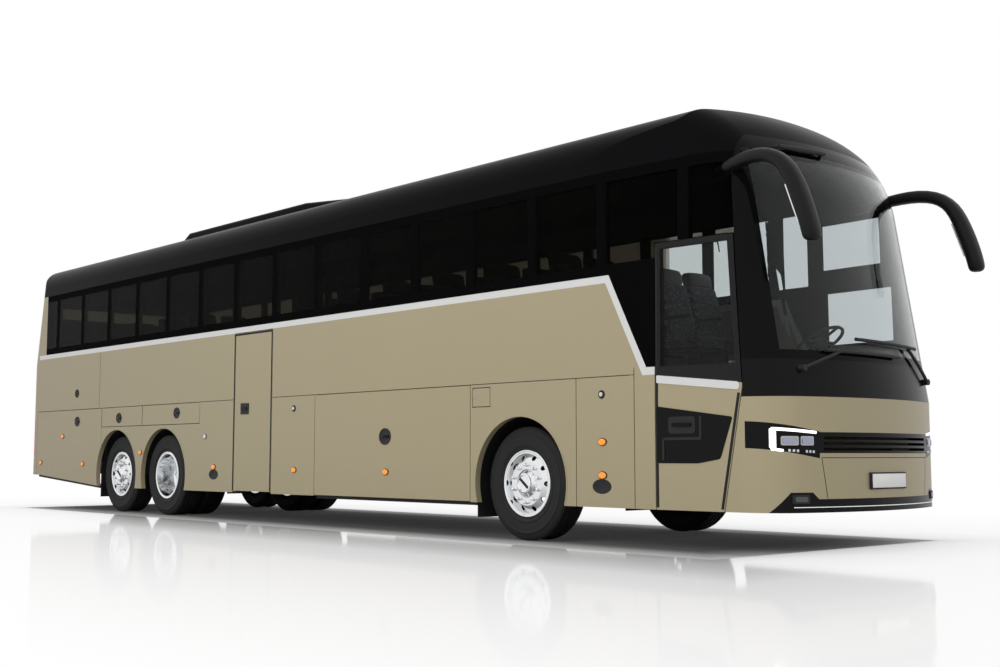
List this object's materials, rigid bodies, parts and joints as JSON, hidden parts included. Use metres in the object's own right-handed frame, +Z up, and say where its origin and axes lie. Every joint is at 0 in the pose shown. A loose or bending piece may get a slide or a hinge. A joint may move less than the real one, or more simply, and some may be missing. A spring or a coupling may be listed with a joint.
{
  "type": "touring coach",
  "caption": "Long touring coach with a wrapped windscreen, bonded side glass, swing doors, side luggage lids, a drive axle with a steered tag axle behind it and a roof air conditioner.",
  "frame": {"origin": "on the ground on the centre line, midway between the rear end and the tips of the mirrors", "axes": "+X forward, +Y to the coach's left, +Z up"},
  "size_m": [14.265, 2.61, 3.7449],
  "materials": {
    "body_paint": "champagne metallic clear-coated paint",
    "roof_paint": "black gloss paint",
    "tinted_glass": "dark tinted bonded glass",
    "clear_glass": "clear laminated glass",
    "moulding": "bright satin moulding",
    "black_trim": "black gloss plastic",
    "lamp_glass": "clear lamp cover",
    "red_lens": "red lamp lens",
    "frame_steel": "black chassis paint",
    "floor_cover": "ribbed floor covering",
    "liner_plastic": "moulded dark plastic",
    "flap_rubber": "black rubber",
    "engine_iron": "bare iron and grey paint",
    "seat_fabric": "woven seat cloth",
    "tyre": "black tyre rubber",
    "rim": "polished forged alloy"
  },
  "bodies": {
    "coach": {"waist_panels": "body_paint", "skirt_panels": "body_paint", "front_panel": "body_paint", "rear_wall": "body_paint", "roof": "roof_paint", "air_conditioner": "roof_paint", "windows": "tinted_glass", "windscreen": "clear_glass", "belt_mouldings": "moulding", "front_trim": "black_trim", "mirrors": "black_trim", "wipers": "black_trim", "headlamps": "lamp_glass", "tail_lamps": "red_lens", "lid_frames": "frame_steel", "underframe": "frame_steel", "axles": "frame_steel", "floor": "floor_cover", "wheel_housings": "liner_plastic", "dashboard": "liner_plastic", "parcel_racks": "liner_plastic", "mud_flaps": "flap_rubber", "engine": "engine_iron", "seats": "seat_fabric"},
    "front_knuckle_left": {"front_knuckle_left": "frame_steel"},
    "front_wheel_left": {"front_tyre_left": "tyre", "front_rim_left": "rim"},
    "front_knuckle_right": {"front_knuckle_right": "frame_steel"},
    "front_wheel_right": {"front_tyre_right": "tyre", "front_rim_right": "rim"},
    "tag_knuckle_left": {"tag_knuckle_left": "frame_steel"},
    "tag_wheel_left": {"tag_tyre_left": "tyre", "tag_rim_left": "rim"},
    "tag_knuckle_right": {"tag_knuckle_right": "frame_steel"},
    "tag_wheel_right": {"tag_tyre_right": "tyre", "tag_rim_right": "rim"},
    "drive_wheels_left": {"drive_tyres_left": "tyre", "drive_rims_left": "rim"},
    "drive_wheels_right": {"drive_tyres_right": "tyre", "drive_rims_right": "rim"},
    "steering_wheel": {"steering_wheel": "liner_plastic"},
    "entry_arms": {"entry_door_arms": "frame_steel"},
    "entry_door": {"entry_door": "body_paint", "entry_door_window": "clear_glass"},
    "exit_arms": {"exit_door_arms": "frame_steel"},
    "exit_door": {"exit_door": "body_paint"},
    "luggage_lid_right": {"luggage_lid_right": "body_paint"},
    "luggage_lid_left_front": {"luggage_lid_left_front": "body_paint"},
    "luggage_lid_left_rear": {"luggage_lid_left_rear": "body_paint"},
    "locker_lid_right_front": {"locker_lid_right_front": "body_paint"},
    "locker_lid_right_rear": {"locker_lid_right_rear": "body_paint"},
    "quarter_lid_right": {"quarter_lid_right": "body_paint"},
    "quarter_lid_left": {"quarter_lid_left": "body_paint"},
    "engine_lid": {"engine_lid": "body_paint"}
  },
  "joints": [
    {"name": "front_steer_left", "type": "hinge", "parent": "coach", "child": "front_knuckle_left", "pos_m": [3.9675, 0.91, 0.512], "axis": [0, 0, 1], "range_deg": [-42, 42]},
    {"name": "front_wheel_left_spin", "type": "hinge", "parent": "front_knuckle_left", "child": "front_wheel_left", "pos_m": [3.9675, 1.05, 0.512], "axis": [0, 1, 0], "continuous": true},
    {"name": "front_steer_right", "type": "hinge", "parent": "coach", "child": "front_knuckle_right", "pos_m": [3.9675, -0.91, 0.512], "axis": [0, 0, 1], "range_deg": [-42, 42]},
    {"name": "front_wheel_right_spin", "type": "hinge", "parent": "front_knuckle_right", "child": "front_wheel_right", "pos_m": [3.9675, -1.05, 0.512], "axis": [0, 1, 0], "continuous": true},
    {"name": "tag_steer_left", "type": "hinge", "parent": "coach", "child": "tag_knuckle_left", "pos_m": [-4.1325, 0.91, 0.512], "axis": [0, 0, 1], "range_deg": [-13, 13]},
    {"name": "tag_wheel_left_spin", "type": "hinge", "parent": "tag_knuckle_left", "child": "tag_wheel_left", "pos_m": [-4.1325, 1.05, 0.512], "axis": [0, 1, 0], "continuous": true},
    {"name": "tag_steer_right", "type": "hinge", "parent": "coach", "child": "tag_knuckle_right", "pos_m": [-4.1325, -0.91, 0.512], "axis": [0, 0, 1], "range_deg": [-13, 13]},
    {"name": "tag_wheel_right_spin", "type": "hinge", "parent": "tag_knuckle_right", "child": "tag_wheel_right", "pos_m": [-4.1325, -1.05, 0.512], "axis": [0, 1, 0], "continuous": true},
    {"name": "drive_wheels_left_spin", "type": "hinge", "parent": "coach", "child": "drive_wheels_left", "pos_m": [-2.7825, 0.9075, 0.512], "axis": [0, 1, 0], "continuous": true},
    {"name": "drive_wheels_right_spin", "type": "hinge", "parent": "coach", "child": "drive_wheels_right", "pos_m": [-2.7825, -0.9075, 0.512], "axis": [0, 1, 0], "continuous": true},
    {"name": "steering_wheel_turn", "type": "hinge", "parent": "coach", "child": "steering_wheel", "pos_m": [5.8575, 0.64, 1.77], "axis": [-0.5299, 0, 0.848], "range_deg": [-640, 640]},
    {"name": "entry_arms_swing", "type": "hinge", "parent": "coach", "child": "entry_arms", "pos_m": [6.22153, -1.086, 0.95], "axis": [0, 0, 1], "range_deg": [0, 160]},
    {"name": "entry_door_swing", "type": "hinge", "parent": "entry_arms", "child": "entry_door", "pos_m": [5.74653, -1.07, 0.95], "axis": [0, 0, 1], "range_deg": [-160, 0]},
    {"name": "exit_arms_swing", "type": "hinge", "parent": "coach", "child": "exit_arms", "pos_m": [-0.9765, -1.145, 0.95], "axis": [0, 0, -1], "range_deg": [0, 160]},
    {"name": "exit_door_swing", "type": "hinge", "parent": "exit_arms", "child": "exit_door", "pos_m": [-0.5695, -1.129, 0.95], "axis": [0, 0, -1], "range_deg": [-160, 0]},
    {"name": "luggage_lid_right_hinge", "type": "hinge", "parent": "coach", "child": "luggage_lid_right", "pos_m": [1.9935, -1.275, 1.421], "axis": [-1, 0, 0], "range_deg": [0, 90]},
    {"name": "luggage_lid_left_front_hinge", "type": "hinge", "parent": "coach", "child": "luggage_lid_left_front", "pos_m": [1.9935, 1.275, 1.421], "axis": [1, 0, 0], "range_deg": [0, 90]},
    {"name": "luggage_lid_left_rear_hinge", "type": "hinge", "parent": "coach", "child": "luggage_lid_left_rear", "pos_m": [-0.1735, 1.275, 1.421], "axis": [1, 0, 0], "range_deg": [0, 90]},
    {"name": "locker_lid_right_front_hinge", "type": "hinge", "parent": "coach", "child": "locker_lid_right_front", "pos_m": [-2.6105, -1.275, 1.421], "axis": [-1, 0, 0], "range_deg": [0, 90]},
    {"name": "locker_lid_right_rear_hinge", "type": "hinge", "parent": "coach", "child": "locker_lid_right_rear", "pos_m": [-3.994, -1.275, 1.421], "axis": [-1, 0, 0], "range_deg": [0, 90]},
    {"name": "quarter_lid_right_hinge", "type": "hinge", "parent": "coach", "child": "quarter_lid_right", "pos_m": [-5.719, -1.275, 1.421], "axis": [-1, 0, 0], "range_deg": [0, 90]},
    {"name": "quarter_lid_left_hinge", "type": "hinge", "parent": "coach", "child": "quarter_lid_left", "pos_m": [-5.719, 1.275, 1.421], "axis": [1, 0, 0], "range_deg": [0, 90]},
    {"name": "engine_lid_hinge", "type": "hinge", "parent": "coach", "child": "engine_lid", "pos_m": [-7.1325, 0, 1.896], "axis": [0, 1, 0], "range_deg": [0, 75]}
  ],
  "couplings": [
    {"joint": "front_steer_right", "follows": "front_steer_left", "ratio": 1},
    {"joint": "tag_steer_left", "follows": "front_steer_left", "ratio": -0.3},
    {"joint": "tag_steer_right", "follows": "front_steer_left", "ratio": -0.3},
    {"joint": "steering_wheel_turn", "follows": "front_steer_left", "ratio": 15},
    {"joint": "entry_door_swing", "follows": "entry_arms_swing", "ratio": -1},
    {"joint": "exit_door_swing", "follows": "exit_arms_swing", "ratio": -1}
  ]
}
